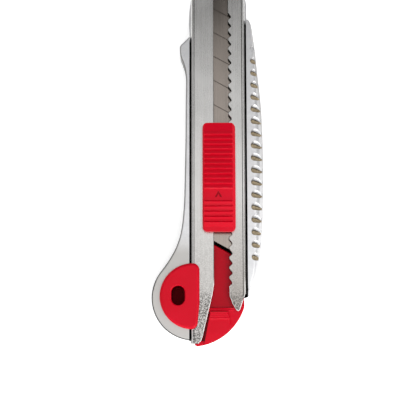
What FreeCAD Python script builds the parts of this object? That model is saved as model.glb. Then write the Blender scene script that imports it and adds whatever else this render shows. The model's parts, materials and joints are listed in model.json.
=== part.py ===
"""Heavy-duty 18 mm snap-off utility knife with a die-cast handle, a steel blade channel,
a self-locking thumb slider, a spring-loaded stack of spare blades and a pull-out end cap.

The knife lies on its back: +Z is up through the slider, +Y runs to the nose and +X to the
blade's spine side. Plan positions are written as (across, along): across is measured from the
channel's centre line and along from the rearmost point of the knife.
"""

import FreeCAD
import Part

import math
import os

Vector = FreeCAD.Vector

# ---- driving dimensions, in millimetres ----
LENGTH = 158.0  # rear of the end cap to the nose
CHANNEL_X = 3.95  # the channel's centre line stands this far to the spine side of the middle
FLOOR = 2.4  # thickness of the handle's back wall
RIM = 10.2  # height of the handle's side walls
CHANNEL_HALF = 10.85  # half the channel's outer width
CHANNEL_TOP = 10.6
SHEET = 1.0  # channel sheet thickness
BEND = 1.1  # channel's outer bend radius
CREASE = (9.45, 9.7)  # across: pressed crease line beside each bend
CREASE_DEPTH = 0.15
SEAM = 0.6  # gap between the channel and the handle's walls
SCORE_ANGLE = math.radians(29.0)  # slant of the blade's score lines and of the nose
BLADE_WIDTH = 18.0
BLADE_THICK = 0.5
BLADE_LENGTH = 105.0
SEGMENT = 10.0  # score line spacing
BLADE_REAR = 40.2  # rear end of a parked blade, on the centre line
STUD_ALONG = 52.0  # blade hole and carrier stud
HOLE_RADIUS = 2.6
BLADE_BEVEL = 1.6  # width of the ground edge
SPARE_BLADES = 3
NOTCH_PITCH = 3.844
NOTCH_FIRST = 132.05  # valley of the foremost lock notch
NOTCH_COUNT = 29
NOTCH_LIP = 4.1  # across: the slot's notched edge, at the tooth tips
NOTCH_VALLEY = 5.3
SLOT_CHAMFER = 0.2  # broken edge all round the slot
SLOT_EDGE = -1.8  # across: the slot's plain edge
CUTBACK = 20.3  # rear end of the channel's spine-side wall
LOCK_NOTCH = 14  # notch that holds the parked slider, counted from the nose
BUTTON_REAR = 44.3
BUTTON_FRONT = 87.6
BUTTON_LEFT = -6.2
BUTTON_RIGHT = 6.7
BUTTON_PLAY = 0.9  # how far the button shifts on its carrier to free the lock
EYELET_CENTRE = (-10.15, 19.35)
EYELET_RADIUS = 12.75
EYELET_EDGE = -7.45  # across: straight edge of the D
LANYARD_HOLE = (-15.75, 19.6)
LANYARD_WIDTH = 5.2
LANYARD_LENGTH = 7.5
EYELET_TOP = 12.4
SLEEVE_WALL = 1.55  # thickness of the eyelet's sleeve in the handle
GROOVE_PITCH = 4.95
GROOVE_COUNT = 18
GROOVE_FIRST = 34.35  # rearmost finger groove
GROOVE_HALF = 1.05  # half the width of a groove's floor
GROOVE_START = 13.95  # across: centre of a groove's round inner end
GROOVE_FLOOR = 9.15  # height of a groove's floor there
GROOVE_TILT = 23.0  # degrees the floor falls towards the palm
GROOVE_RAMP = 0.95  # run of the nose-side ramp for each millimetre it rises
GROOVE_STOP = 0.35  # each groove runs out this far inside the flank's widest point
SCREW_RADIUS = 1.25
SCREW_HEAD_RADIUS = 2.5
SCREW_HEAD_DEEP = 1.3
SCREW_FIT = 0.05  # radial clearance of the screws in their holes
SCREWS_ALONG = (28.0, 74.0, 122.0)
EYELET_SCREWS = ((-13.6, 28.4), (-13.6, 10.8))
CLEAR = 0.1  # sliding clearance

# ---- levels worked out from them ----
CHANNEL_INNER = CHANNEL_HALF - SHEET
CEILING = CHANNEL_TOP - SHEET
WEB_TOP = FLOOR + SHEET
CARRIER_THICK = 1.0
CARRIER_TOP = CEILING - CLEAR
BLADE_TOP = CARRIER_TOP - CARRIER_THICK
BLADE_BOTTOM = BLADE_TOP - BLADE_THICK
BLADE_STEP = BLADE_THICK + CLEAR
FOLLOWER_THICK = 0.6
FOLLOWER_TOP = BLADE_BOTTOM - SPARE_BLADES * BLADE_STEP
FOLLOWER_BOTTOM = FOLLOWER_TOP - FOLLOWER_THICK
WALL = CHANNEL_HALF + SEAM  # across: inner face of the handle's side walls
LOCK_ALONG = NOTCH_FIRST - LOCK_NOTCH * NOTCH_PITCH
SLANT = math.tan(SCORE_ANGLE)

parts = {}


# ---- small helpers ----
def at(across, along, z=0.0):
    """A point from its place across and along the knife."""
    return Vector(CHANNEL_X + across, along - LENGTH / 2, z)


def polygon(points):
    """Closed flat outline through (across, along) points."""
    corners = [at(*p) for p in points]
    return Part.makePolygon(corners + corners[:1])


def raised(wire, low, high):
    """Solid standing on a flat outline, from low to high."""
    face = Part.Face(wire)
    face.translate(Vector(0, 0, low))
    return face.extrude(Vector(0, 0, high - low))


def prism(points, low, high):
    return raised(polygon(points), low, high)


def block(left, right, rear, front, low, high):
    corner = at(left, rear, low)
    return Part.makeBox(right - left, front - rear, high - low, corner)


def post(across, along, radius, low, high):
    return Part.makeCylinder(radius, high - low, at(across, along, low))


def joined(shapes):
    first, rest = shapes[0], shapes[1:]
    return first.multiFuse(rest).removeSplitter() if rest else first


def round_edges(shape, radius, chosen):
    """Fillets the edges for which chosen(edge) is true."""
    edges = [e for e in shape.Edges if chosen(e)]
    return shape.makeFillet(radius, edges) if edges else shape


def level(edge, z):
    """Whether an edge lies flat at height z."""
    box = edge.BoundBox
    return abs(box.ZMin - z) < 1e-3 and abs(box.ZMax - z) < 1e-3


def upright(edge):
    box = edge.BoundBox
    return box.ZLength > 0.3 and box.XLength < 1e-3 and box.YLength < 1e-3


def along_knife(edge):
    box = edge.BoundBox
    return box.YLength > 1.0 and box.XLength < 1e-3 and box.ZLength < 1e-3


def centre_of(edge):
    return edge.BoundBox.Center


def smooth_curve(points):
    curve = Part.BSplineCurve()
    curve.interpolate(points)
    return curve.toShape()


def tapering(low_outline, high_outline, low, high):
    """Solid between two outlines of like corners, one at each height."""
    low_outline.translate(Vector(0, 0, low))
    high_outline.translate(Vector(0, 0, high))
    return Part.makeLoft([low_outline, high_outline], True, True)


def stadium(centre, width, length):
    """Flat oval with straight flanks, long along the knife."""
    across, along = centre
    r = width / 2
    straight = length / 2 - r
    top, foot = along + straight, along - straight
    return Part.Wire(
        [
            Part.makeLine(at(across + r, foot), at(across + r, top)),
            Part.Arc(at(across + r, top), at(across, top + r), at(across - r, top)).toShape(),
            Part.makeLine(at(across - r, top), at(across - r, foot)),
            Part.Arc(at(across - r, foot), at(across, foot - r), at(across + r, foot)).toShape(),
        ]
    )


def slanted(across, along_at_centre):
    """A point on a line that leans as the score lines do."""
    return (across, along_at_centre - across * SLANT)


def slanted_strip(half, rear, front):
    """Outline of a centred strip whose two ends lean as the score lines do."""
    return [slanted(-half, rear), slanted(half, rear), slanted(half, front), slanted(-half, front)]


# ---- handle ----
def left_grip():
    """Finger side of the handle: a guard at the front, a slim waist and a round butt."""
    guard = [at(-WALL, 124.0), at(-14.4, 121.0), at(-15.3, 119.2), at(-15.3, 118.0)]
    waist = [
        at(-15.3, 118.0),
        at(-14.2, 113.8),
        at(-13.1, 109.5),
        at(-12.85, 101.0),
        at(-12.95, 85.0),
        at(-13.25, 66.0),
        at(-14.05, 49.2),
        at(-16.2, 39.6),
        at(-22.5, 29.1),
    ]
    curve = Part.BSplineCurve()
    curve.interpolate(waist, InitialTangent=Vector(0, -1, 0), FinalTangent=Vector(-0.62, -0.78, 0))
    butt_centre, butt_radius = (-9.5, 18.9), 16.6
    foot_drop = math.sqrt(butt_radius**2 - (WALL + butt_centre[0]) ** 2)
    foot = at(-WALL, butt_centre[1] - foot_drop)
    butt = Part.Arc(waist[-1], at(butt_centre[0] - butt_radius, butt_centre[1]), foot)
    corner = Part.Arc(guard[1], at(-15.12, 120.2), guard[2])
    outline = Part.Wire(
        [
            Part.makeLine(guard[0], guard[1]),
            corner.toShape(),
            Part.makeLine(guard[2], guard[3]),
            curve.toShape(),
            butt.toShape(),
            Part.makeLine(foot, guard[0]),
        ]
    )
    solid = raised(outline, 0, RIM)
    inner = at(-WALL, 0).x

    def outer(z):
        return lambda e: level(e, z) and e.BoundBox.XMin < inner - 0.05

    solid = round_edges(solid, 0.7, outer(RIM))
    return round_edges(solid, 1.6, outer(0))


# Spine-side flank: (along, across of the widest point). The flank bulges under the palm.
FLANK = [
    (131.0, 12.3),
    (129.8, 13.5),
    (127.0, 14.2),
    (120.0, 15.1),
    (110.0, 16.1),
    (98.0, 17.3),
    (84.0, 18.0),
    (71.0, 18.2),
    (56.0, 18.0),
    (43.0, 17.4),
    (33.0, 16.2),
    (26.0, 14.2),
    (21.5, 12.1),
    (19.3, 11.7),
]
LAND = 13.6  # across: where the flat rim ends and the flank starts to fall away
WIDEST_Z = 4.6


def flank_section(widest, along):
    """Section across the flank: a flat land, a falling curve to the widest point, an undercut."""
    land = min(LAND, WALL + 0.45 * (widest - WALL))
    shoulder = at(land + 0.74 * (widest - land), along, WIDEST_Z + 0.70 * (RIM - WIDEST_Z))
    falling = Part.BSplineCurve()
    falling.interpolate(
        [at(land, along, RIM), shoulder, at(widest, along, WIDEST_Z)],
        InitialTangent=Vector(1, 0, 0),
        FinalTangent=Vector(0, 0, -1),
    )
    foot = max(WALL + 0.05, widest - 2.2)
    under = Part.BSplineCurve()
    under.interpolate(
        [at(widest, along, WIDEST_Z), at(0.75 * widest + 0.25 * foot, along, 1.6), at(foot, along, 0)],
        InitialTangent=Vector(0, 0, -1),
        FinalTangent=Vector(-1, 0, -0.15),
    )
    return Part.Wire(
        [
            Part.makeLine(at(WALL, along, 0), at(WALL, along, RIM)),
            Part.makeLine(at(WALL, along, RIM), at(land, along, RIM)),
            falling.toShape(),
            under.toShape(),
            Part.makeLine(at(foot, along, 0), at(WALL, along, 0)),
        ]
    )


def flank_width(along):
    """Across, of the flank's widest point at a place along the knife."""
    for (front, front_width), (rear, rear_width) in zip(FLANK, FLANK[1:]):
        if rear <= along <= front:
            share = (along - rear) / (front - rear)
            return rear_width + share * (front_width - rear_width)
    return WALL


def groove_outline(rear, front, reach):
    """Leaf shape: a round inner end, then sides that close in towards the palm."""
    half_way, radius = (rear + front) / 2, (front - rear) / 2
    start, end = GROOVE_START, GROOVE_START + reach
    round_end = Part.Arc(at(start, front), at(start - radius, half_way), at(start, rear))
    corners = [
        at(start, rear),
        at(start + 0.65 * reach, rear),
        at(end, rear + 0.5 * GROOVE_HALF),
        at(end, front - 1.2 * GROOVE_HALF),
        at(start + 0.4 * reach, front - 0.3 * GROOVE_HALF),
        at(start, front),
    ]
    sides = [Part.makeLine(a, b) for a, b in zip(corners, corners[1:])]
    return Part.Wire([round_end.toShape(), *sides])


def finger_groove(along):
    """Cutter for one groove: a nose-side ramp over a leaf-shaped floor that tilts to the palm."""
    rise, lean = 3.0, 0.1
    rear, front = along - GROOVE_HALF, along + GROOVE_HALF
    reach = flank_width(along) - GROOVE_STOP - GROOVE_START
    floor = groove_outline(rear, front, reach)
    mouth = groove_outline(rear - lean, front + GROOVE_RAMP * rise, reach)
    cutter = tapering(floor, mouth, GROOVE_FLOOR, GROOVE_FLOOR + rise)
    cutter.rotate(at(GROOVE_START, along, GROOVE_FLOOR), Vector(0, 1, 0), GROOVE_TILT)
    return cutter


def right_grip():
    """Spine side of the handle: a bulged flank crossed by finger grooves."""
    outer = Part.makeLoft([flank_section(wide, along) for along, wide in FLANK], True)
    for k in range(GROOVE_COUNT):
        outer = outer.cut(finger_groove(GROOVE_FIRST + k * GROOVE_PITCH))
    return outer


def rear_arc(inset=0.0):
    """Rear edge shared by the end cap and the back wall, spine side to finger side."""
    return Part.Arc(
        at(10.0 - inset, 15.0 + 0.3 * inset),
        at(3.0 - 0.7 * inset, 4.8 + 0.7 * inset),
        at(-8.4, inset),
    )


def back_wall():
    """Flat back of the handle, under the channel, from the rear arc to near the nose."""
    front = LENGTH - 4.0
    edge = rear_arc(0.7)
    nose_left = (-10.4, front - (CHANNEL_HALF - 10.4) * SLANT)
    nose_right = (10.4, front - (CHANNEL_HALF + 10.4) * SLANT)
    outline = [
        edge.toShape(),
        Part.makeLine(at(-8.4, 0.7), at(-WALL - 0.4, 2.4)),
        Part.makeLine(at(-WALL - 0.4, 2.4), at(-WALL - 0.4, 122.0)),
        Part.makeLine(at(-WALL - 0.4, 122.0), at(-11.3, 126.0)),
        Part.makeLine(at(-11.3, 126.0), at(-11.3, 134.0)),
        Part.makeLine(at(-11.3, 134.0), at(*nose_left)),
        Part.makeLine(at(*nose_left), at(*nose_right)),
        Part.makeLine(at(*nose_right), at(11.9, 139.0)),
        Part.makeLine(at(11.9, 139.0), at(11.9, 19.4)),
        Part.makeLine(at(11.9, 19.4), at(9.3, 18.6)),
        Part.makeLine(at(9.3, 18.6), at(9.3, 15.21)),
    ]
    return raised(Part.Wire(outline), 0, FLOOR)


def nose_lips():
    """Low side lips that cradle the channel in front of the grips."""
    left = prism(
        [(-CHANNEL_HALF, 123.0), (-11.3, 123.0), (-11.7, 130.0), (-11.5, 135.5), (-CHANNEL_HALF, 141.0)],
        0,
        7.2,
    )
    right = prism(
        [(CHANNEL_HALF, 130.0), (11.7, 130.0), (11.7, 138.0), (11.3, 141.0), (CHANNEL_HALF, 142.5)],
        0,
        7.2,
    )
    return [left, right]


def handle_casting():
    handle = joined([left_grip(), right_grip(), back_wall(), *nose_lips()])
    pocket = block(-CHANNEL_HALF - 0.001, CHANNEL_HALF + 0.001, -1, LENGTH + 1, FLOOR, RIM + 5)
    handle = handle.cut(pocket)
    sleeve_room = 2 * SLEEVE_WALL + 0.1
    eyelet_bore = stadium(LANYARD_HOLE, LANYARD_WIDTH + sleeve_room, LANYARD_LENGTH + sleeve_room)
    handle = handle.cut(raised(eyelet_bore, -1, RIM + 1))
    for along in SCREWS_ALONG:
        handle = handle.cut(screw_seat(0, along))
    for across, along in EYELET_SCREWS:
        handle = handle.cut(screw_seat(across, along))
    return handle


# ---- screws ----
def screw_seat(across, along):
    """Countersunk hole through the back wall and whatever stands above it."""
    hole_radius = SCREW_RADIUS + SCREW_FIT
    shank = post(across, along, hole_radius, -1, RIM + 1)
    cone = Part.makeCone(
        SCREW_HEAD_RADIUS + SCREW_FIT, hole_radius, SCREW_HEAD_DEEP, at(across, along, 0)
    )
    return shank.fuse(cone)


def screw(across, along, tip):
    """Countersunk screw with a cross recess, head flush with the back."""
    sunk = 0.05
    head = Part.makeCone(SCREW_HEAD_RADIUS, SCREW_RADIUS, SCREW_HEAD_DEEP, at(across, along, sunk))
    shank = post(across, along, SCREW_RADIUS, sunk, tip)
    body = head.fuse(shank)
    arm, half_width, recess_deep = 1.5, 0.25, 0.8
    for x, y in ((arm, half_width), (half_width, arm)):
        body = body.cut(block(across - x, across + x, along - y, along + y, 0, recess_deep))
    return body.removeSplitter()


# ---- channel ----
def notched_edge():
    """The slot's lock edge: leaning teeth, one per pitch, as points from the nose rearwards."""
    points = []
    for k in range(NOTCH_COUNT):
        valley = NOTCH_FIRST - k * NOTCH_PITCH
        points += [
            (NOTCH_LIP, valley + 0.47 * NOTCH_PITCH),
            (NOTCH_VALLEY - 0.12, valley + 0.10 * NOTCH_PITCH),
            (NOTCH_VALLEY, valley),
            (NOTCH_VALLEY - 0.08, valley - 0.08 * NOTCH_PITCH),
            (NOTCH_LIP, valley - 0.32 * NOTCH_PITCH),
        ]
    return points


def slot_outline():
    """Slot in the channel's face, open at the rear where it flares to let the slider in."""
    front = 147.0
    return [
        (SLOT_EDGE, slanted(SLOT_EDGE, front)[1]),
        (NOTCH_LIP, slanted(NOTCH_LIP, front)[1]),
        *notched_edge(),
        (NOTCH_LIP + 0.2, 19.2),
        (5.45, 16.2),
        (6.7, 14.1),
        (7.2, 13.6),
        (7.75, 13.6),
        (8.25, 14.2),
        (9.85, 18.8),
        (10.3, CUTBACK),
        (14.0, CUTBACK),
        (14.0, -2.0),
        (-7.7, -2.0),
        (-7.7, 1.4),
        (-6.9, 2.0),
        (-6.4, 3.4),
        (-2.4, 20.2),
        (SLOT_EDGE, 24.2),
    ]


def slot_rim():
    """Cutter that breaks the slot's upper edges: the slot's outline widening to the face."""
    slot = polygon(slot_outline())
    mitred = 2
    wider = slot.makeOffset2D(SLOT_CHAMFER, join=mitred)
    return tapering(slot, wider, CHANNEL_TOP - SLOT_CHAMFER, CHANNEL_TOP)


def rear_opening():
    """Rear of the web and of the spine-side wall, cut back for the end cap."""
    return block(-CHANNEL_INNER, 14.0, -2.0, CUTBACK, 0, CEILING)


def blade_channel():
    tube = block(-CHANNEL_HALF, CHANNEL_HALF, 1.1, LENGTH, FLOOR, CHANNEL_TOP)
    tube = tube.makeFillet(BEND, [e for e in tube.Edges if along_knife(e)])
    hollow = block(-CHANNEL_INNER, CHANNEL_INNER, -1, LENGTH + 1, WEB_TOP, CEILING)
    hollow = hollow.makeFillet(0.2, [e for e in hollow.Edges if along_knife(e)])
    channel = tube.cut(hollow)
    near, far = CREASE
    for left, right in ((near, far), (-far, -near)):
        crease = block(left, right, -1, LENGTH + 1, CHANNEL_TOP - CREASE_DEPTH, CHANNEL_TOP + 1)
        channel = channel.cut(crease)
    channel = channel.cut(prism(slot_outline(), CEILING - 0.5, CHANNEL_TOP + 1))
    channel = channel.cut(slot_rim())
    channel = channel.cut(rear_opening())
    beyond_nose = prism(
        [
            (-20.0, LENGTH + (20.0 - CHANNEL_HALF) * SLANT),
            (20.0, LENGTH - (20.0 + CHANNEL_HALF) * SLANT),
            (20.0, LENGTH + 30),
            (-20.0, LENGTH + 30),
        ],
        -1,
        CHANNEL_TOP + 1,
    )
    channel = channel.cut(beyond_nose)
    for along in SCREWS_ALONG:
        channel = channel.cut(post(0, along, SCREW_RADIUS + SCREW_FIT, 0, WEB_TOP + 0.5))
    latch_window = block(3.3, 7.1, 25.8, 30.2, 0, WEB_TOP + 0.5)
    return channel.cut(latch_window)


def nose_block():
    """Support under the blade at the nose, which also keeps the spare blades in."""
    front = LENGTH - 0.8 - CHANNEL_HALF * SLANT
    rear = BLADE_REAR + BLADE_LENGTH + 0.6
    half = CHANNEL_INNER - 0.05
    return prism(slanted_strip(half, rear, front), WEB_TOP, BLADE_BOTTOM - CLEAR)


# ---- blades ----
def blade(top):
    """One 18 mm blade: slanted ends, a carrier hole, score lines and a ground edge."""
    half = BLADE_WIDTH / 2
    low = top - BLADE_THICK
    front = BLADE_REAR + BLADE_LENGTH
    body = prism(slanted_strip(half, BLADE_REAR, front), low, top)
    body = body.cut(post(0, STUD_ALONG, HOLE_RADIUS, low - 1, top + 1))
    score_deep, score_half = 0.12, 0.16
    for k in range(1, 8):
        line = front - k * SEGMENT
        groove = slanted_strip(half + 1, line - score_half, line + score_half)
        body = body.cut(prism(groove, top - score_deep, top + 1))
    core = (top + low) / 2
    for side in (1, -1):
        face = core + side * (BLADE_THICK / 2 + 0.01)
        edge = core + side * 0.04
        corners = [
            at(-half - 0.5, 30, face),
            at(-half + BLADE_BEVEL, 30, face),
            at(-half, 30, edge),
            at(-half - 0.5, 30, edge),
        ]
        ground = Part.Face(Part.makePolygon(corners + corners[:1]))
        body = body.cut(ground.extrude(Vector(0, 130, 0)))
    return body


# ---- slider ----
CARRIER_REAR = 46.5
CARRIER_FRONT = 86.0
HEAD_REAR = 49.0
HEAD_FRONT = 84.0
NECK_LEFT = SLOT_EDGE + 0.3
NECK_RIGHT = NOTCH_LIP - 0.4
HEAD_LEFT = -3.4
HEAD_RIGHT = 5.5
HEAD_LOW = 11.6
HEAD_TOP = 12.5
SPRING_WALL = NECK_RIGHT - 1.6  # across: where the lock spring lies against the neck
SPRING_THICK = 0.4
RIVET_ALONG = LOCK_ALONG - 6.8
RIVET_Z = (CARRIER_TOP + CHANNEL_TOP) / 2


def blade_carrier():
    """Slides under the channel's face; its neck passes the slot and its head carries the button."""
    plate = block(-9.3, 9.3, CARRIER_REAR, CARRIER_FRONT, BLADE_TOP, CARRIER_TOP)
    plate = round_edges(plate, 2.0, upright)
    neck = block(NECK_LEFT, NECK_RIGHT, HEAD_REAR, HEAD_FRONT, BLADE_TOP, HEAD_TOP)
    head = block(HEAD_LEFT, HEAD_RIGHT, HEAD_REAR, HEAD_FRONT, HEAD_LOW, HEAD_TOP)
    body = joined([plate, neck, head])
    pocket_rear, pocket_front = LOCK_ALONG - 8.2, LOCK_ALONG + 4.0
    pocket = block(SPRING_WALL, NECK_RIGHT + 1, pocket_rear, pocket_front, CARRIER_TOP, HEAD_LOW - 0.5)
    body = body.cut(pocket).cut(rivet_rod(0.27, SPRING_WALL - 1.2, SPRING_WALL + 1))
    return body.cut(post(0, STUD_ALONG, 1.53, 0, HEAD_TOP + 1))


def blade_stud():
    """Steel stud that carries the blade by its hole, held in the carrier by its shank."""
    pin = post(0, STUD_ALONG, HOLE_RADIUS - 0.08, BLADE_BOTTOM + 0.05, BLADE_TOP - 0.02)
    shank = post(0, STUD_ALONG, 1.5, BLADE_TOP - 0.1, HEAD_TOP - 0.1)
    return pin.fuse(shank).removeSplitter()


def rivet_rod(radius, left, right):
    """Cylinder lying across the knife on the lock spring's rivet axis."""
    return Part.makeCylinder(radius, right - left, at(left, RIVET_ALONG, RIVET_Z), Vector(1, 0, 0))


def lock_spring():
    """Flat spring on edge: a strip bent into one tooth that drops into the channel's notches."""
    tip = NOTCH_VALLEY - 0.35
    half = 0.3 * NOTCH_PITCH
    inner = [
        (SPRING_WALL, LOCK_ALONG - 7.8),
        (SPRING_WALL, LOCK_ALONG - half - 0.9),
        (tip - SPRING_THICK, LOCK_ALONG - 0.3),
        (tip - SPRING_THICK, LOCK_ALONG + 0.1),
        (SPRING_WALL, LOCK_ALONG + half + 0.9),
        (SPRING_WALL, LOCK_ALONG + 3.6),
    ]
    outer = [(across + SPRING_THICK, along) for across, along in reversed(inner)]
    strip = prism(inner + outer, CARRIER_TOP + 0.15, CHANNEL_TOP - 0.1)
    return strip.cut(rivet_rod(0.27, SPRING_WALL - 1, SPRING_WALL + 1))


def lock_spring_rivet():
    head = rivet_rod(0.42, SPRING_WALL + SPRING_THICK, SPRING_WALL + SPRING_THICK + 0.3)
    shank = rivet_rod(0.25, SPRING_WALL - 1.1, SPRING_WALL + SPRING_THICK + 0.1)
    return head.fuse(shank).removeSplitter()


BUTTON_LOW = CHANNEL_TOP + 0.15
BUTTON_CREST = (59.5, 15.3)  # along, height of the highest rib
BUTTON_CORNER = 1.9
RIB_DEEP = 0.6
RIB_FACE = 0.55  # run of a rib's steep face
FRONT_RIBS = 12
FRONT_RIB_PITCH = 1.972
FRONT_RIB_FIRST = 82.65  # middle of the foremost steep face
REAR_RIBS = 5
REAR_RIB_PITCH = 2.01
REAR_RIB_FIRST = 56.1
LEFT_SLOPE = 0.6  # width of the button's sloping flanks
RIGHT_SLOPE = 1.1


def button_height(along):
    """Height of the rib crests: highest in the middle, falling to both ends."""
    crest_along, crest = BUTTON_CREST
    ahead = along > crest_along
    share = (along - crest_along) / ((BUTTON_FRONT if ahead else BUTTON_REAR) - crest_along)
    fall = 1.6 if ahead else 1.1
    return crest - fall * share * share


def rib_root(along):
    return button_height(along) - RIB_DEEP


def button_side_profile():
    """Side outline of the button: saw-tooth ribs that bite as the thumb pulls or pushes it."""
    half = RIB_FACE / 2
    points = [(BUTTON_REAR, BUTTON_LOW), (BUTTON_REAR, 13.0)]
    for k in reversed(range(REAR_RIBS)):
        face = REAR_RIB_FIRST - k * REAR_RIB_PITCH
        points.append((face - half, button_height(face)))
        points.append((face + half, rib_root(face)))
    for k in reversed(range(FRONT_RIBS)):
        face = FRONT_RIB_FIRST - k * FRONT_RIB_PITCH
        points.append((face - half, rib_root(face)))
        points.append((face + half, button_height(face)))
    shoulder = FRONT_RIB_FIRST - half + FRONT_RIB_PITCH
    points += [(shoulder, rib_root(shoulder)), (BUTTON_FRONT - 0.6, rib_root(BUTTON_FRONT))]
    points += [(BUTTON_FRONT, 12.8), (BUTTON_FRONT, BUTTON_LOW)]
    return points


def is_crown(edge):
    """Whether an edge is one of the button base's long curved edges."""
    box = edge.BoundBox
    return box.XLength < 0.05 and box.YLength > 30 and box.ZMin > BUTTON_LOW + 1


def button_base():
    """Smooth body under the ribs, with sloping flanks."""
    steps = 6
    span = BUTTON_FRONT - BUTTON_REAR
    stations = [BUTTON_REAR + k * span / steps for k in range(steps + 1)]
    crown = [at(BUTTON_LEFT, along, rib_root(along)) for along in stations]
    foot_rear = at(BUTTON_LEFT, BUTTON_REAR, BUTTON_LOW)
    foot_front = at(BUTTON_LEFT, BUTTON_FRONT, BUTTON_LOW)
    side = Part.Wire(
        [
            Part.makeLine(foot_rear, crown[0]),
            smooth_curve(crown),
            Part.makeLine(crown[-1], foot_front),
            Part.makeLine(foot_front, foot_rear),
        ]
    )
    base = Part.Face(side).extrude(Vector(BUTTON_RIGHT - BUTTON_LEFT, 0, 0))
    for across, slope in ((BUTTON_LEFT, LEFT_SLOPE), (BUTTON_RIGHT, RIGHT_SLOPE)):
        side_x = at(across, 0).x
        crowns = [e for e in base.Edges if is_crown(e) and abs(centre_of(e).x - side_x) < 0.05]
        base = base.makeChamfer(slope, crowns)
    return base


def thumb_button():
    """Ribbed thumb button, a T-slotted shell that rides on the carrier's head."""
    left, right = BUTTON_LEFT + LEFT_SLOPE, BUTTON_RIGHT - RIGHT_SLOPE
    profile = [at(left, along, z) for along, z in button_side_profile()]
    ribbed = Part.Face(Part.makePolygon(profile + profile[:1])).extrude(Vector(right - left, 0, 0))
    envelope = block(BUTTON_LEFT, BUTTON_RIGHT, BUTTON_REAR, BUTTON_FRONT, 0, 20)
    envelope = round_edges(envelope, BUTTON_CORNER, upright)
    body = ribbed.fuse(button_base()).common(envelope).removeSplitter()
    rear, front = HEAD_REAR - BUTTON_PLAY - 0.15, HEAD_FRONT + BUTTON_PLAY + 0.15
    cavity = block(HEAD_LEFT - 0.15, HEAD_RIGHT + 0.15, rear, front, HEAD_LOW - 0.12, HEAD_TOP + 0.15)
    throat = block(NECK_LEFT - 0.2, NECK_RIGHT + 0.2, rear, front, 0, HEAD_LOW)
    arrow = prism(
        [(-1.4, 57.7), (0.0, 60.25), (1.4, 57.7), (0.6, 57.7), (0.0, 58.95), (-0.6, 57.7)],
        rib_root(BUTTON_CREST[0]) - 0.45,
        BUTTON_CREST[1] + 1,
    )
    return body.cut(cavity).cut(throat).cut(arrow)


# ---- spare blade stack ----
def follower_plate():
    half = 8.4
    rear, front = BLADE_REAR + 1.0, BLADE_REAR + BLADE_LENGTH - 1.0
    plate = prism(slanted_strip(half, rear, front), FOLLOWER_BOTTOM, FOLLOWER_TOP)
    return plate.cut(post(0, STUD_ALONG, HOLE_RADIUS, 0, FOLLOWER_TOP + 1))


def magazine_spring():
    """Two-bow leaf spring between the channel's web and the follower."""
    thick = 0.35
    low, high = WEB_TOP + 0.1, FOLLOWER_BOTTOM - 0.1 - thick
    half_way = (low + high) / 2
    rear, front, half_width = 56.0, 140.0, 4.0
    bow = (front - rear) / 2
    stations = []
    for k in range(9):
        along = rear + k * bow / 4
        stations.append(at(-half_width, along, (low, half_way, high, half_way)[k % 4]))
    lower = smooth_curve(stations)
    upper = lower.translated(Vector(0, 0, thick))
    ends = [Part.makeLine(p, p + Vector(0, 0, thick)) for p in (stations[0], stations[-1])]
    outline = Part.Wire(Part.sortEdges([lower, upper, *ends])[0])
    return Part.Face(outline).extrude(Vector(2 * half_width, 0, 0))


# ---- end cap ----
TONGUE_HALF = CHANNEL_INNER - 0.2
TONGUE_TOP = 8.4
TONGUE_FRONT = BLADE_REAR - 1.5
TAIL_TOP = 8.9
TAIL_FRONT = 14.8  # along: where the tail meets the tongue
CAP_TOP = 10.4
PAD_FRONT = 13.15
PAD_STEPS = (  # along, height of each crest, height of the step's foot
    (PAD_FRONT, CAP_TOP, 10.25),
    (12.4, 10.3, 10.2),
    (11.65, 10.25, 10.15),
    (10.75, 10.25, 9.95),
)


def cap_tail_outline():
    """Outline of the cap behind the channel, closed by the rear arc."""
    corners = [
        (-8.4, 0.0),
        (-9.2, 0.45),
        (-TONGUE_HALF, 2.2),
        (-TONGUE_HALF, TAIL_FRONT),
        (5.6, TAIL_FRONT),
        (5.6, 18.7),
        (10.0, 18.7),
        (10.0, 15.0),
    ]
    sides = [Part.makeLine(at(*a), at(*b)) for a, b in zip(corners, corners[1:])]
    return Part.Wire([rear_arc().toShape(), *sides])


def cross_ridge(crest, height):
    """Small ridge across the tail, steep ahead and sloping to the rear."""
    left, width = -5.0, 11.0
    section = [
        at(left, crest + 0.05, TAIL_TOP - 0.1),
        at(left, crest, TAIL_TOP + height),
        at(left, crest - 0.4, TAIL_TOP - 0.05),
    ]
    return Part.Face(Part.makePolygon(section + section[:1])).extrude(Vector(width, 0, 0))


def thumb_pad():
    """Raised pad on the tail: saw-tooth steps ahead, a sloping palm side, cut off by the rear arc."""
    left, width = -8.0, 16.0
    profile = [at(left, PAD_FRONT, TONGUE_TOP)]
    for along, high, low in PAD_STEPS:
        profile += [at(left, along, high), at(left, along - 0.35, low)]
    profile += [at(left, 5.0, 9.8), at(left, -3.0, 9.1), at(left, -3.0, TONGUE_TOP)]
    pad = Part.Face(Part.makePolygon(profile + profile[:1])).extrude(Vector(width, 0, 0))
    ahead = PAD_FRONT + 0.1
    foot = polygon([(-3.2, ahead), (4.2, ahead), (5.2, 7.8), (6.2, -3.0), (-6.4, -3.0)])
    crown = polygon([(-3.2, ahead), (3.5, ahead), (4.4, 7.8), (5.3, -3.0), (-6.4, -3.0)])
    pad = pad.common(tapering(foot, crown, TONGUE_TOP, CAP_TOP))
    return pad.common(raised(cap_tail_outline(), TONGUE_TOP - 1, CAP_TOP + 1))


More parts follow.
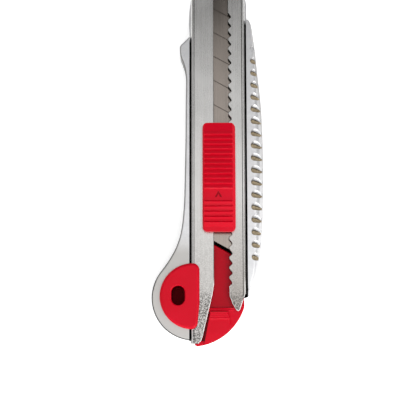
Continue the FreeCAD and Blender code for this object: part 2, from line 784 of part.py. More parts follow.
def end_cap():
    """End cap: a tongue that fills the channel behind the blades, and a rounded tail."""
    tongue_outline = [
        (-TONGUE_HALF, 4.5),
        (TONGUE_HALF, 18.0),
        slanted(TONGUE_HALF, TONGUE_FRONT),
        slanted(-TONGUE_HALF, TONGUE_FRONT),
    ]
    tongue = prism(tongue_outline, WEB_TOP + CLEAR, TONGUE_TOP)
    ahead = at(0, TONGUE_FRONT - 2).y
    top_edges = [e for e in tongue.Edges if level(e, TONGUE_TOP)]
    lead = [e for e in top_edges if e.BoundBox.XLength > 15 and centre_of(e).y > ahead]
    tongue = tongue.makeChamfer(0.3, lead)
    tail = raised(cap_tail_outline(), FLOOR + CLEAR, TAIL_TOP)
    tail = round_edges(tail, 0.4, lambda e: level(e, TAIL_TOP) and centre_of(e).y < at(0, 9).y)
    cap = joined([tongue, tail, thumb_pad(), cross_ridge(TAIL_FRONT, 0.3), cross_ridge(14.05, 0.2)])
    relief = prism([(-3.3, 13.3), (-5.5, 2.0), (-8.8, 2.0), (-8.8, 4.5), (-5.2, 13.3)], 7.0, CAP_TOP + 1)
    latch_seat = block(1.0, 9.4, 22.0, 32.2, 0, WEB_TOP + 0.75)
    return cap.cut(relief).cut(latch_seat)


def cap_latch_spring():
    """Steel clip under the tongue whose tooth drops into the channel's window."""
    seat, tooth, thick = WEB_TOP + 0.45, FLOOR + 0.35, 0.3
    line = [(22.2, seat), (25.5, seat), (27.2, tooth), (28.8, tooth), (30.5, seat), (32.0, seat)]
    lower = [at(3.6, along, z) for along, z in line]
    upper = [p + Vector(0, 0, thick) for p in reversed(lower)]
    return Part.Face(Part.makePolygon(lower + upper + lower[:1])).extrude(Vector(3.2, 0, 0))


# ---- lanyard eyelet ----
def eyelet_outline():
    """D outline: a round side towards the butt and a nearly straight side over the channel."""
    across, along = EYELET_CENTRE
    rear_edge = EYELET_EDGE - 0.9
    front_reach = math.sqrt(EYELET_RADIUS**2 - (EYELET_EDGE - across) ** 2)
    rear_reach = math.sqrt(EYELET_RADIUS**2 - (rear_edge - across) ** 2)
    front = at(EYELET_EDGE, along + front_reach)
    rear = at(rear_edge, along - rear_reach)
    knee = at(EYELET_EDGE, along - 3.0)
    round_side = Part.Arc(front, at(across - EYELET_RADIUS, along), rear)
    return Part.Wire([round_side.toShape(), Part.makeLine(rear, knee), Part.makeLine(knee, front)])


def hole_rim(edge):
    """Whether an edge is part of the lanyard hole's upper rim."""
    centre = at(*LANYARD_HOLE)
    away = centre_of(edge) - centre
    inside = abs(away.x) < LANYARD_WIDTH / 2 + 0.1 and abs(away.y) < LANYARD_LENGTH
    return inside and level(edge, EYELET_TOP)


def lanyard_eyelet():
    """Red insert that lines the lanyard hole and clamps the channel's edge."""
    pad = raised(eyelet_outline(), RIM, EYELET_TOP)
    pad = round_edges(pad, 2.6, upright)
    pad = round_edges(pad, 1.1, lambda e: level(e, EYELET_TOP))
    over_channel = block(-WALL, 0, -5, 40, 0, CHANNEL_TOP + 0.02)
    pad = pad.cut(over_channel)
    outer_width, outer_length = LANYARD_WIDTH + 2 * SLEEVE_WALL, LANYARD_LENGTH + 2 * SLEEVE_WALL
    sleeve = raised(stadium(LANYARD_HOLE, outer_width, outer_length), 0.3, RIM + 0.5)
    body = joined([pad, sleeve])
    bore = raised(stadium(LANYARD_HOLE, LANYARD_WIDTH, LANYARD_LENGTH), -1, EYELET_TOP + 1)
    body = round_edges(body.cut(bore), 0.45, hole_rim)
    for across, along in EYELET_SCREWS:
        body = body.cut(post(across, along, SCREW_RADIUS + SCREW_FIT, 0, RIM + 1.2))
    return body


# ---- build ----
def build():
    parts["handle_casting"] = handle_casting()
    parts["blade_channel"] = blade_channel()
    parts["nose_block"] = nose_block()
    for k, along in enumerate(SCREWS_ALONG, 1):
        parts[f"channel_screw_{k}"] = screw(0, along, WEB_TOP)
    parts["lanyard_eyelet"] = lanyard_eyelet()
    for k, (across, along) in enumerate(EYELET_SCREWS, 1):
        parts[f"eyelet_screw_{k}"] = screw(across, along, RIM + 1.0)
    parts["magazine_spring"] = magazine_spring()
    parts["follower_plate"] = follower_plate()
    for k in range(SPARE_BLADES):
        parts[f"spare_blade_{k + 1}"] = blade(BLADE_TOP - (k + 1) * BLADE_STEP)
    parts["working_blade"] = blade(BLADE_TOP)
    parts["blade_carrier"] = blade_carrier()
    parts["blade_stud"] = blade_stud()
    parts["lock_spring"] = lock_spring()
    parts["lock_spring_rivet"] = lock_spring_rivet()
    parts["thumb_button"] = thumb_button()
    parts["end_cap"] = end_cap()
    parts["cap_latch_spring"] = cap_latch_spring()


def export():
    os.makedirs("parts", exist_ok=True)
    for name, shape in parts.items():
        shape.exportStep(f"parts/{name}.step")


build()
export()
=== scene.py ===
"""Looks for the snap-off utility knife: every CAD node keeps its shape and gets a procedural
material. Metres, in the CAD frame: +Y to the nose, +X to the palm side, +Z up through the slider.
"""

import json
import math

import bpy
from mathutils import Matrix, Vector


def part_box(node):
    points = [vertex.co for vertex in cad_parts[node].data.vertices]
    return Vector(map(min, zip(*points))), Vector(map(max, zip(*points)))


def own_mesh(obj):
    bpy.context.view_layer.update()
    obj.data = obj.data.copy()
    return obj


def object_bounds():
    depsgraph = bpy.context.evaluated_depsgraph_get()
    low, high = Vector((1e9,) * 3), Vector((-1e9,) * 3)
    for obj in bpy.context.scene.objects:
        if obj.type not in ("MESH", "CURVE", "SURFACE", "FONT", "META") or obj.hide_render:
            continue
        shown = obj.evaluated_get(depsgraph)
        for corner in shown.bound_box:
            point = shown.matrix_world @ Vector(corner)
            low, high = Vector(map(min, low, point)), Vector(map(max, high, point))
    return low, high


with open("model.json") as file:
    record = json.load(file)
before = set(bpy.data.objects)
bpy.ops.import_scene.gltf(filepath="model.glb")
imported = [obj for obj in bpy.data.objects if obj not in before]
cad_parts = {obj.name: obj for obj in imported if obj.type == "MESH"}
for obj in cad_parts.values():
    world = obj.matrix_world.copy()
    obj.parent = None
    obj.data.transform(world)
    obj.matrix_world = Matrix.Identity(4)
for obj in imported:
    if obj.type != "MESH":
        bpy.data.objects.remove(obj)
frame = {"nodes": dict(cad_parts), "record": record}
cad_box = [list(corner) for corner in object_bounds()]
nodes = frame["nodes"]
scene = bpy.context.scene

# ---- places on the knife; along it they are given from the rearmost point ----
MM = 0.001
REAR = cad_box[0][1]
CHANNEL_LOW, CHANNEL_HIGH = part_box("blade_channel")
CHANNEL_X = (CHANNEL_LOW[0] + CHANNEL_HIGH[0]) / 2
CHANNEL_HALF = (CHANNEL_HIGH[0] - CHANNEL_LOW[0]) / 2
CHANNEL_TOP = CHANNEL_HIGH[2]
CHANNEL_SHEET = 1.0 * MM
GRIP_FRONT = REAR + 130.5 * MM
GUARD_FRONT = REAR + 124.6 * MM
SLOT_FLARE = REAR + 27 * MM  # the slot's flare, with a painted highlight on its cut edges, is to the rear of this
TUMBLED_REAR = REAR + 25 * MM  # the channel's coarse grain ends here
SHADE_AND_WEAR_REAR = REAR + 62 * MM  # painted shade, a darker warm tone, and some of the pits lie to the rear of this
DARKER_BUTT = REAR + 44 * MM  # the casting's coat is darker on the finger side to the rear of this
BUTT_SHADE_END = REAR + 32 * MM  # the painted shade line on the casting's butt edge ends here
PALM_REAR = REAR + 40 * MM  # the painted grey shade on the palm side grows from here
PALM_FRONT = REAR + 105 * MM  # to its full strength here
CAP_TONGUE = REAR + 14.7 * MM  # painted shade on the cap's tongue to the front of this
ARROW_REAR = REAR + 57.5 * MM
ARROW_FRONT = REAR + 60.5 * MM
ARROW_HALF = 1.8 * MM
OPENING_LOW, OPENING_HIGH = frame["record"]["physics"]["openings"][0]["box_m"]
LANYARD_X = (OPENING_LOW[0] + OPENING_HIGH[0]) / 2
LANYARD_Y = (OPENING_LOW[1] + OPENING_HIGH[1]) / 2

GROOVE_FIRST = REAR + 34.35 * MM
GROOVE_PITCH = 4.95 * MM
GROOVE_COUNT = 17  # the nose-most nick beyond these stays clean
GROOVE_HALF = 1.05 * MM
GROOVE_START = 13.95 * MM  # across: centre of a groove's round inner end
GROOVE_FLOOR = 9.15 * MM  # height of a groove's floor there
GROOVE_FALL = math.tan(math.radians(23.0))
GROOVE_NARROWING = 0.28  # how fast a groove's nose side closes in towards the palm

SOFT = 1.0 * MM  # usual width over which a mask fades
CRISP = 0.1 * MM


# ---- node helpers ----
class Shader:
    """A material being built: adds nodes and links them by socket."""

    def __init__(self, name):
        self.material = bpy.data.materials.new(name)
        self.material.use_nodes = True
        self.tree = self.material.node_tree
        self.tree.nodes.clear()
        self.out = self.add("ShaderNodeOutputMaterial")
        self.bsdf = self.add("ShaderNodeBsdfPrincipled")
        self.link(self.bsdf.outputs["BSDF"], self.out.inputs["Surface"])
        self.place = self.add("ShaderNodeTexCoord").outputs["Object"]

    def add(self, kind, **settings):
        node = self.tree.nodes.new(kind)
        for key, value in settings.items():
            setattr(node, key, value)
        return node

    def link(self, source, target):
        self.tree.links.new(source, target)

    def set(self, **values):
        """Plain values on the shader's own sockets."""
        for key, value in values.items():
            self.bsdf.inputs[key.replace("_", " ")].default_value = value

    def colour(self, socket):
        self.link(socket, self.bsdf.inputs["Base Color"])

    def rough(self, socket):
        self.link(socket, self.bsdf.inputs["Roughness"])

    def dull(self, mask):
        """Takes the metal and the shine away where the mask is 1."""
        for name in ("Metallic", "Specular IOR Level"):
            plain = self.bsdf.inputs[name].default_value
            self.link(self.remap(mask, 0.0, 1.0, plain, 0.0), self.bsdf.inputs[name])

    def bump(self, height, distance, strength=1.0):
        """Adds a bump on top of any earlier one."""
        node = self.add("ShaderNodeBump")
        node.inputs["Distance"].default_value = distance
        node.inputs["Strength"].default_value = strength
        self.link(height, node.inputs["Height"])
        if self.bsdf.inputs["Normal"].is_linked:
            self.link(self.bsdf.inputs["Normal"].links[0].from_socket, node.inputs["Normal"])
        self.link(node.outputs["Normal"], self.bsdf.inputs["Normal"])

    # textures
    def noise(self, scale, detail=3.0, roughness=0.55):
        """Noise with so many features per metre along each axis."""
        mapping = self.add("ShaderNodeMapping")
        mapping.inputs["Scale"].default_value = scale
        self.link(self.place, mapping.inputs["Vector"])
        node = self.add("ShaderNodeTexNoise")
        node.inputs["Scale"].default_value = 1.0
        node.inputs["Detail"].default_value = detail
        node.inputs["Roughness"].default_value = roughness
        self.link(mapping.outputs["Vector"], node.inputs["Vector"])
        return node.outputs["Fac"]

    def ramp(self, value, stops):
        """Colour ramp through (position, colour) stops."""
        node = self.add("ShaderNodeValToRGB")
        elements = node.color_ramp.elements
        while len(elements) < len(stops):
            elements.new(0.5)
        for element, (position, colour) in zip(elements, stops):
            element.position = position
            element.color = (*colour, 1.0)
        self.link(value, node.inputs["Fac"])
        return node.outputs["Color"]

    def mix(self, share, first, second):
        """Colour between first and second."""
        node = self.add("ShaderNodeMix", data_type="RGBA")
        colours = [socket for socket in node.inputs if socket.type == "RGBA"]
        for socket, value in zip((node.inputs[0], *colours), (share, first, second)):
            if isinstance(value, tuple):
                socket.default_value = (*value, 1.0)
            else:
                self.link(value, socket)
        return next(socket for socket in node.outputs if socket.type == "RGBA")

    # numbers
    def math(self, operation, first, second=0.5):
        node = self.add("ShaderNodeMath", operation=operation)
        for socket, value in zip(node.inputs, (first, second)):
            if isinstance(value, (int, float)):
                socket.default_value = value
            else:
                self.link(value, socket)
        return node.outputs[0]

    def remap(self, value, low, high, out_low, out_high):
        """Straight line from (low, out_low) to (high, out_high), flat beyond."""
        node = self.add("ShaderNodeMapRange")
        node.inputs["From Min"].default_value = low
        node.inputs["From Max"].default_value = high
        node.inputs["To Min"].default_value = out_low
        node.inputs["To Max"].default_value = out_high
        self.link(value, node.inputs["Value"])
        return node.outputs["Result"]

    def weighted(self, first, second, share):
        """Share of first, and the rest of second."""
        rest = self.math("MULTIPLY", second, 1.0 - share)
        return self.math("ADD", self.math("MULTIPLY", first, share), rest)

    def squares(self, first, second):
        """Sum of two squares."""
        return self.math("ADD", self.math("POWER", first, 2.0), self.math("POWER", second, 2.0))

    # where on the object
    def axis(self, name):
        node = self.add("ShaderNodeSeparateXYZ")
        self.link(self.place, node.inputs["Vector"])
        return node.outputs[name]

    def facing(self, name):
        """One component of the surface normal in object space."""
        node = self.add("ShaderNodeSeparateXYZ")
        self.link(self.add("ShaderNodeTexCoord").outputs["Normal"], node.inputs["Vector"])
        return node.outputs[name]

    def across(self):
        """Distance from the channel's centre line, positive on the palm side."""
        return self.math("SUBTRACT", self.axis("X"), CHANNEL_X)

    def aside(self):
        """Distance from the channel's centre line, either way."""
        return self.math("ABSOLUTE", self.across())

    # masks
    def below(self, value, limit, soft):
        """1 below the limit, fading in over soft."""
        return self.remap(value, limit - soft, limit, 1.0, 0.0)

    def above(self, value, limit, soft):
        """1 above the limit, fading in over soft."""
        return self.remap(value, limit, limit + soft, 0.0, 1.0)

    def all_of(self, *masks):
        """1 where every mask is 1."""
        product = masks[0]
        for mask in masks[1:]:
            product = self.math("MULTIPLY", product, mask)
        return product

    def any_of(self, *masks):
        """1 where any mask is 1."""
        largest = masks[0]
        for mask in masks[1:]:
            largest = self.math("MAXIMUM", largest, mask)
        return largest


def linear(screen):
    """Linear value of one 0-255 screen value."""
    return ((screen / 255 + 0.055) / 1.055) ** 2.4 if screen > 10 else screen / 255 / 12.92


def srgb(red, green, blue):
    """Linear colour from 0-255 screen values."""
    return tuple(linear(screen) for screen in (red, green, blue))


# ---- metal ----
def between_walls(m):
    """Behind the casting's front ends: the finger guard's on one side, the palm grip's on the other."""
    along = m.axis("Y")
    palm = m.all_of(m.above(m.across(), 0.0, SOFT), m.below(along, GRIP_FRONT, SOFT))
    return m.any_of(palm, m.below(along, GUARD_FRONT, SOFT))


def channel_shade_masks(m):
    """Masks of painted shade: over the channel's inside and over its sides deep in the seams."""
    inside = m.all_of(
        m.below(m.axis("Z"), CHANNEL_TOP - 0.1 * MM, 0.05 * MM),
        m.below(m.aside(), CHANNEL_HALF - CHANNEL_SHEET, CRISP),
        m.below(m.facing("X"), 0.6, 0.2),
    )
    seam_shade = m.all_of(
        m.above(m.aside(), CHANNEL_HALF - 0.3 * MM, 0.2 * MM),
        m.below(m.axis("Z"), CHANNEL_TOP - 0.8 * MM, 0.4 * MM),
        between_walls(m),
    )
    return inside, seam_shade


def channel_steel():
    """Rolled steel sheet brushed lengthwise, darker to the rear by painted shade and pitted there
    by wear, with a coarse grain at its tumbled rear ends and a painted highlight on the cut edges
    there."""
    m = Shader("channel_steel")
    m.set(Metallic=1.0)
    along = m.noise((2600, 26, 2600), 3.0)
    cloud = m.noise((90, 60, 90), 3.0)
    speck = m.noise((2300, 2300, 2300), 1.0, 0.6)
    tone = m.weighted(along, cloud, 0.45)
    steel = m.ramp(tone, [(0.35, srgb(203, 202, 200)), (0.65, srgb(221, 220, 218))])
    # painted shade: a darker warm tone over the rear, stronger on the palm side; the same mask scatters
    # a few pits of wear
    rear_shade_and_wear = m.below(m.axis("Y"), SHADE_AND_WEAR_REAR, 45 * MM)
    palm_half = m.remap(m.across(), -4 * MM, 6 * MM, 0.45, 0.95)
    steel = m.mix(m.all_of(rear_shade_and_wear, palm_half), steel, srgb(168, 162, 156))
    rear_end = m.below(m.axis("Y"), TUMBLED_REAR, 8 * MM)
    scuffed = m.any_of(rear_end, m.all_of(rear_shade_and_wear, 0.3))
    pits = m.all_of(m.remap(speck, 0.42, 0.57, 0.0, 0.9), scuffed)
    skin = m.mix(pits, steel, srgb(88, 86, 83))
    # painted highlight: the cut edges at the slot's rear, near white and without shine
    cut_edge_highlight = m.all_of(
        m.above(m.axis("Z"), CHANNEL_TOP - 0.22 * MM, 0.02 * MM),
        m.below(m.facing("Z"), 0.95, 0.05),
        m.below(m.axis("Y"), SLOT_FLARE, 3 * MM),
    )
    skin = m.mix(cut_edge_highlight, skin, srgb(252, 252, 250))
    # painted shade: the channel's inside dark, its sides deep in the seams black
    inside, seam_shade = channel_shade_masks(m)
    m.colour(m.mix(seam_shade, m.mix(inside, skin, srgb(30, 29, 27)), srgb(14, 14, 14)))
    m.dull(m.any_of(seam_shade, inside, cut_edge_highlight))
    m.rough(m.remap(tone, 0.3, 0.7, 0.23, 0.31))
    m.bump(along, 0.02 * MM, 0.25)
    m.bump(m.all_of(speck, rear_end), 0.1 * MM, 0.4)
    return m.material


def groove_floors(m):
    """Masks over the floors of the finger grooves, for their tan soiling and painted shade, and over
    the corner under their ramps, for painted shade.
    """
    shifted = m.math("SUBTRACT", m.axis("Y"), GROOVE_FIRST - GROOVE_PITCH / 2)
    count = m.math("DIVIDE", shifted, GROOVE_PITCH)
    share = m.math("SUBTRACT", m.math("FRACT", count), 0.5)
    off_y = m.math("DIVIDE", m.math("MULTIPLY", share, GROOVE_PITCH), GROOVE_HALF)
    beyond = m.math("SUBTRACT", m.across(), GROOVE_START)
    off_x = m.math("MAXIMUM", m.math("DIVIDE", beyond, -GROOVE_HALF), 0.0)
    radius = m.math("SQRT", m.squares(off_x, off_y))
    level = m.math("SUBTRACT", GROOVE_FLOOR, m.math("MULTIPLY", beyond, GROOVE_FALL))
    off_floor = m.math("ABSOLUTE", m.math("SUBTRACT", m.axis("Z"), level))
    floor_mask = m.all_of(
        m.below(off_floor, 0.12 * MM, 0.06 * MM),
        m.below(radius, 1.06, 0.05),
        m.above(count, 0.0, 0.01),
        m.below(count, GROOVE_COUNT, 0.01),
    )
    closing = m.math("MULTIPLY", m.math("MAXIMUM", beyond, 0.0), GROOVE_NARROWING / GROOVE_HALF)
    under_ramp = m.math("ADD", off_y, closing)
    from_middle = m.squares(off_x, under_ramp)
    corner = m.all_of(m.above(from_middle, 0.4, 0.4), m.above(under_ramp, 0.1, 0.4))
    return floor_mask, corner


def shaded_coat(m, coat):
    """The coat darker on the butt, with painted shade: darker down the finger side, a dark line on the
    butt's edge and grey on the palm side.
    """
    fingers = m.below(m.across(), -CHANNEL_HALF, SOFT)
    butt = m.all_of(m.below(m.axis("Y"), DARKER_BUTT, 8 * MM), fingers)
    coat = m.mix(butt, coat, srgb(190, 188, 185))
    # painted shade: the steep finger side darker, most towards the floor
    shaded_finger_side = m.all_of(m.below(m.facing("Z"), 0.97, 0.3), fingers)
    height = m.remap(m.axis("Z"), 2 * MM, 8 * MM, 0.0, 1.0)
    coat = m.mix(shaded_finger_side, coat, m.mix(height, srgb(54, 53, 52), srgb(102, 100, 98)))
    # painted shade: a dark line along the edge of the butt
    butt_edge_shade = m.all_of(
        shaded_finger_side,
        m.above(m.facing("Z"), 0.15, 0.2),
        m.below(m.axis("Y"), BUTT_SHADE_END, 12 * MM),
    )
    coat = m.mix(butt_edge_shade, coat, srgb(30, 29, 28))
    # painted shade: the steep palm side grey, growing towards the nose
    palm_side_shade = m.all_of(
        m.below(m.facing("Z"), 0.9, 0.5),
        m.above(m.across(), CHANNEL_HALF, SOFT),
        m.remap(m.axis("Y"), PALM_REAR, PALM_FRONT, 0.3, 1.0),
    )
    return m.mix(palm_side_shade, coat, srgb(146, 145, 144))


def cast_metal():
    """Zinc die casting under a thin silver coat: mottled, with a faint orange peel, tan soiling and
    painted shade on the groove floors and painted black shade on the walls beside the channel."""
    m = Shader("cast_metal")
    m.set(Metallic=0.85)
    blotch = m.noise((260, 260, 260), 4.0, 0.6)
    fine = m.noise((1400, 1400, 1400), 2.0)
    tone = m.weighted(blotch, fine, 0.6)
    coat = m.ramp(tone, [(0.3, srgb(213, 213, 215)), (0.7, srgb(231, 231, 232))])
    coat = shaded_coat(m, coat)
    # the groove floors' tan: partly soiling, partly painted shade
    groove_soil_and_shade = m.ramp(fine, [(0.35, srgb(140, 126, 103)), (0.65, srgb(178, 162, 135))])
    floors, corner = groove_floors(m)
    # painted shade: a dark line in the corner under each ramp
    groove_soil_and_corner_shade = m.mix(corner, groove_soil_and_shade, srgb(52, 48, 40))
    # painted shade: the casting's walls beside the channel black, down in the gap
    pocket_shade = m.all_of(
        m.below(m.aside(), CHANNEL_HALF + 0.75 * MM, CRISP),
        m.above(m.axis("Z"), 2.2 * MM, CRISP),
        m.below(m.axis("Z"), CHANNEL_TOP - 0.9 * MM, 0.4 * MM),
        between_walls(m),
    )
    m.colour(m.mix(pocket_shade, m.mix(floors, coat, groove_soil_and_corner_shade), srgb(12, 12, 12)))
    m.dull(m.any_of(pocket_shade, floors))
    m.rough(m.remap(tone, 0.3, 0.7, 0.4, 0.3))
    m.bump(blotch, 0.06 * MM, 0.25)
    m.bump(fine, 0.03 * MM, 0.4)
    return m.material


def blade_steel(name, face):
    """Hardened strip with rolling marks, a thin film of oil and score lines cut below its face, painted
    dark as shade.
    """
    m = Shader(name)
    m.set(Metallic=1.0)
    along = m.noise((1800, 30, 1800), 3.0)
    film = m.noise((70, 45, 70), 2.0)
    tone = m.weighted(along, film, 0.4)
    steel = m.ramp(tone, [(0.35, srgb(146, 138, 131)), (0.65, srgb(172, 162, 154))])
    # painted shade: the score lines' floors darker
    cut_down = m.below(m.axis("Z"), face - 0.04 * MM, 0.03 * MM)
    score_line_shade = m.all_of(cut_down, m.above(m.facing("Z"), 0.3, 0.3))
    m.colour(m.mix(score_line_shade, steel, srgb(70, 62, 56)))
    m.rough(m.remap(film, 0.3, 0.7, 0.14, 0.22))
    m.bump(along, 0.01 * MM, 0.15)
    return m.material


def plain_steel(name, dark, light, roughness):
    """Bright or plain steel for springs, screws and the carrier."""
    m = Shader(name)
    m.set(Metallic=1.0)
    grain = m.noise((900, 900, 900), 3.0)
    m.colour(m.ramp(grain, [(0.35, dark), (0.65, light)]))
    m.rough(m.remap(grain, 0.3, 0.7, roughness - 0.05, roughness + 0.07))
    m.bump(grain, 0.02 * MM, 0.3)
    return m.material


# ---- plastic ----
def red_plastic(name, shaded):
    """Moulded nylon with a fine spark-eroded texture. shaded(m) is a mask where it stays dark."""
    m = Shader(name)
    m.set(Specular_IOR_Level=0.05, Coat_Weight=0.15, Coat_Roughness=0.15)
    drift = m.noise((60, 60, 60), 2.0)
    grain = m.noise((2400, 2400, 2400), 2.0)
    red = m.ramp(drift, [(0.3, srgb(203, 2, 30)), (0.7, srgb(213, 5, 37))])
    m.colour(m.mix(shaded(m), red, srgb(98, 0, 3)))
    m.rough(m.remap(grain, 0.3, 0.7, 0.38, 0.54))
    m.bump(grain, 0.03 * MM, 0.35)
    return m.material


def shade_under_channel(m):
    """Painted shade on the cap's tongue below the channel's face, and on all of the cap further down.
    """
    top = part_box("working_blade")[1][2]
    tongue = m.all_of(
        m.below(m.axis("Z"), top, 0.05 * MM),
        m.above(m.axis("Y"), CAP_TONGUE, 0.2 * MM),
        0.4,
    )
    return m.any_of(tongue, m.below(m.axis("Z"), top - 1.0 * MM, SOFT))


def arrow_recess_shade(m):
    """Painted shade in the arrow sunk in the thumb button."""
    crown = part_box("thumb_button")[1][2]
    return m.all_of(
        m.below(m.axis("Z"), crown - 0.7 * MM, 0.15 * MM),
        m.above(m.axis("Y"), ARROW_REAR, CRISP),
        m.below(m.axis("Y"), ARROW_FRONT, CRISP),
        m.below(m.aside(), ARROW_HALF, 0.2 * MM),
        0.5,
    )


def lanyard_bore_shade(m):
    """Painted shade on the walls of the oval hole."""
    half_x = (OPENING_HIGH[0] - OPENING_LOW[0]) / 2 + 0.7 * MM
    half_y = (OPENING_HIGH[1] - OPENING_LOW[1]) / 2 + 1.4 * MM
    off_x = m.math("ABSOLUTE", m.math("SUBTRACT", m.axis("X"), LANYARD_X))
    off_y = m.math("ABSOLUTE", m.math("SUBTRACT", m.axis("Y"), LANYARD_Y))
    deep = m.below(m.axis("Z"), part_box("lanyard_eyelet")[1][2] - 0.5 * MM, 1.2 * MM)
    return m.all_of(m.below(off_x, half_x, CRISP), m.below(off_y, half_y, CRISP), deep)


def dark_plastic():
    """Black acetal for the pieces inside the channel."""
    m = Shader("dark_plastic")
    grain = m.noise((1200, 1200, 1200), 2.0)
    m.colour(m.ramp(grain, [(0.3, srgb(22, 22, 23)), (0.7, srgb(40, 40, 41))]))
    m.rough(m.remap(grain, 0.3, 0.7, 0.45, 0.6))
    m.bump(grain, 0.02 * MM, 0.3)
    return m.material


# ---- the knife ----
def dress(material, *names):
    """Gives the named CAD nodes one material."""
    for name in names:
        slots = nodes[name].data.materials
        slots.clear()
        slots.append(material)


def dress_all():
    dress(channel_steel(), "blade_channel")
    dress(cast_metal(), "handle_casting")
    for name in nodes:
        if name.endswith("_blade") or name.startswith("spare_blade_"):
            dress(blade_steel(f"{name}_steel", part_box(name)[1][2]), name)
    screws = [name for name in nodes if "screw_" in name]
    bright = plain_steel("screw_steel", srgb(180, 180, 180), srgb(215, 215, 214), 0.3)
    dress(bright, "blade_stud", "lock_spring_rivet", *screws)
    sprung = plain_steel("spring_steel", srgb(120, 121, 124), srgb(160, 161, 163), 0.33)
    dress(sprung, "lock_spring", "magazine_spring", "cap_latch_spring")
    matt = plain_steel("carrier_steel", srgb(120, 120, 120), srgb(150, 150, 150), 0.4)
    dress(matt, "blade_carrier")
    dress(red_plastic("button_red", arrow_recess_shade), "thumb_button")
    dress(red_plastic("cap_red", shade_under_channel), "end_cap")
    dress(red_plastic("eyelet_red", lanyard_bore_shade), "lanyard_eyelet")
    dress(dark_plastic(), "nose_block", "follower_plate")


def flatten_leaf_spring():
    """Gives the magazine's leaf spring a mesh of its own."""
    spring = nodes["magazine_spring"]
    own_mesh(spring)


# ---- stage ----
FLOOR_HALF = 3.0
FLOOR_GLOW = 0.55
FLOOR_PAPER = ((0.93, 0.93, 0.93), (0.96, 0.96, 0.96))
# painted shade: the floor dark red and without glow under the lanyard hole
HOLE_SHADE = (0.4, 0.012, 0.02)
HOLE_SHADE_EDGE = (5 * MM, 7 * MM)  # the floor turns from HOLE_SHADE to paper between these radii


def floor():
    """White floor with a faint glow of its own, and painted shade under the lanyard hole: dark red
    there, without glow.
    """
    mesh = bpy.data.meshes.new("floor")
    corners = [(-FLOOR_HALF, -FLOOR_HALF, 0), (FLOOR_HALF, -FLOOR_HALF, 0)]
    corners += [(FLOOR_HALF, FLOOR_HALF, 0), (-FLOOR_HALF, FLOOR_HALF, 0)]
    mesh.from_pydata(corners, [], [(0, 1, 2, 3)])
    obj = bpy.data.objects.new("floor", mesh)
    scene.collection.objects.link(obj)
    m = Shader("floor_white")
    m.set(Roughness=0.9, Specular_IOR_Level=0.1, Emission_Color=(1, 1, 1, 1))
    off_x = m.math("SUBTRACT", m.axis("X"), LANYARD_X)
    off_y = m.math("SUBTRACT", m.axis("Y"), LANYARD_Y)
    away = m.math("SQRT", m.squares(off_x, off_y))
    m.link(m.remap(away, *HOLE_SHADE_EDGE, 0.0, FLOOR_GLOW), m.bsdf.inputs["Emission Strength"])
    paper = m.ramp(m.noise((3, 3, 3), 2.0), [(0.3, FLOOR_PAPER[0]), (0.7, FLOOR_PAPER[1])])
    m.colour(m.mix(m.remap(away, *HOLE_SHADE_EDGE, 0.0, 1.0), HOLE_SHADE, paper))
    mesh.materials.append(m.material)


def softbox(name, place, aim, size, power):
    """Rectangular area light of so many watts, facing the aim."""
    light = bpy.data.lights.new(name, "AREA")
    light.shape = "RECTANGLE"
    light.size, light.size_y = size
    light.energy = power
    obj = bpy.data.objects.new(name, light)
    obj.location = place
    obj.rotation_euler = (Vector(aim) - Vector(place)).to_track_quat("-Z", "Y").to_euler()
    scene.collection.objects.link(obj)


REAR_RIGHT = (0.45, -0.9, 0.0)  # the surround is brightest this way
LEAN_START = -0.2  # how far a direction leans to the rear right where the brightening starts
LEAN_END = 1.0
SURROUND_DARK = 0.06
SURROUND_BRIGHT = 0.8
LOW_BAND = 0.42  # strength of the surround low down all round
LOW_BAND_START = 0.84  # a direction's upward share where the low band starts to show
LOW_BAND_FULL = 0.68


def surround_ramp(tree, value, starts, ends, low, high):
    """Straight line from (starts, low) to (ends, high), flat beyond, for the surround."""
    node = tree.nodes.new("ShaderNodeMapRange")
    node.inputs["From Min"].default_value = starts
    node.inputs["From Max"].default_value = ends
    node.inputs["To Min"].default_value = low
    node.inputs["To Max"].default_value = high
    tree.links.new(value, node.inputs["Value"])
    return node.outputs["Result"]


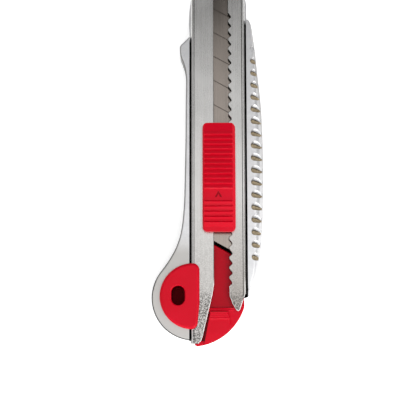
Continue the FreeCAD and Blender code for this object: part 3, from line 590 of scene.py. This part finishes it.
def studio_world():
    """White surround: dim overhead, brighter low down all round, brightest to the rear right."""
    world = bpy.data.worlds.new("studio")
    world.use_nodes = True
    tree = world.node_tree
    direction = tree.nodes.new("ShaderNodeTexCoord").outputs["Generated"]
    lean = tree.nodes.new("ShaderNodeVectorMath")
    lean.operation = "DOT_PRODUCT"
    lean.inputs[1].default_value = REAR_RIGHT
    tree.links.new(direction, lean.inputs[0])
    parts = tree.nodes.new("ShaderNodeSeparateXYZ")
    tree.links.new(direction, parts.inputs["Vector"])
    tilt = lean.outputs["Value"]
    sideways = surround_ramp(tree, tilt, LEAN_START, LEAN_END, SURROUND_DARK, SURROUND_BRIGHT)
    all_round = surround_ramp(tree, parts.outputs["Z"], LOW_BAND_START, LOW_BAND_FULL, 0.0, LOW_BAND)
    stronger = tree.nodes.new("ShaderNodeMath")
    stronger.operation = "MAXIMUM"
    tree.links.new(sideways, stronger.inputs[0])
    tree.links.new(all_round, stronger.inputs[1])
    background = tree.nodes["Background"]
    tree.links.new(stronger.outputs["Value"], background.inputs["Strength"])
    background.inputs["Color"].default_value = (1.0, 1.0, 1.0, 1.0)
    scene.world = world


def lights():
    """Two softboxes overhead, one to the right and a low one to the rear, in a white surround."""
    knife = (0, 0, 0)
    softbox("overhead", (0.0, -0.28, 0.8), (0.0, -0.28, 0.0), (1.4, 1.2), 3.6)
    softbox("overhead_rear", (0.0, -0.36, 0.81), (0.0, -0.36, 0.0), (1.4, 1.06), 1.8)
    softbox("right", (0.7, -0.45, 0.6), knife, (0.9, 0.8), 3.2)
    softbox("rear_low", (0.1, -0.95, 0.22), knife, (1.3, 0.4), 4.0)
    studio_world()


VIEW_ELEVATION = math.radians(81.9)
VIEW_DISTANCE = 0.378
VIEW_LENS = 83.2
VIEW_CENTRE = Vector((-0.13 * MM, -25.1 * MM, 10.6 * MM))
VIEW_ROLL = math.radians(-0.12)


def camera():
    """Looks almost straight down, from a little to the rear."""
    data = bpy.data.cameras.new("view")
    data.lens = VIEW_LENS
    data.sensor_width = 36.0
    data.clip_start = 0.01
    obj = bpy.data.objects.new("view", data)
    back = Vector((0, -math.cos(VIEW_ELEVATION), math.sin(VIEW_ELEVATION)))
    turn = back.to_track_quat("Z", "Y").to_matrix().to_4x4() @ Matrix.Rotation(VIEW_ROLL, 4, "Z")
    obj.matrix_world = Matrix.Translation(VIEW_CENTRE + back * VIEW_DISTANCE) @ turn
    scene.collection.objects.link(obj)
    scene.camera = obj


dress_all()
flatten_leaf_spring()
floor()
lights()
camera()
scene.view_settings.view_transform = "Standard"
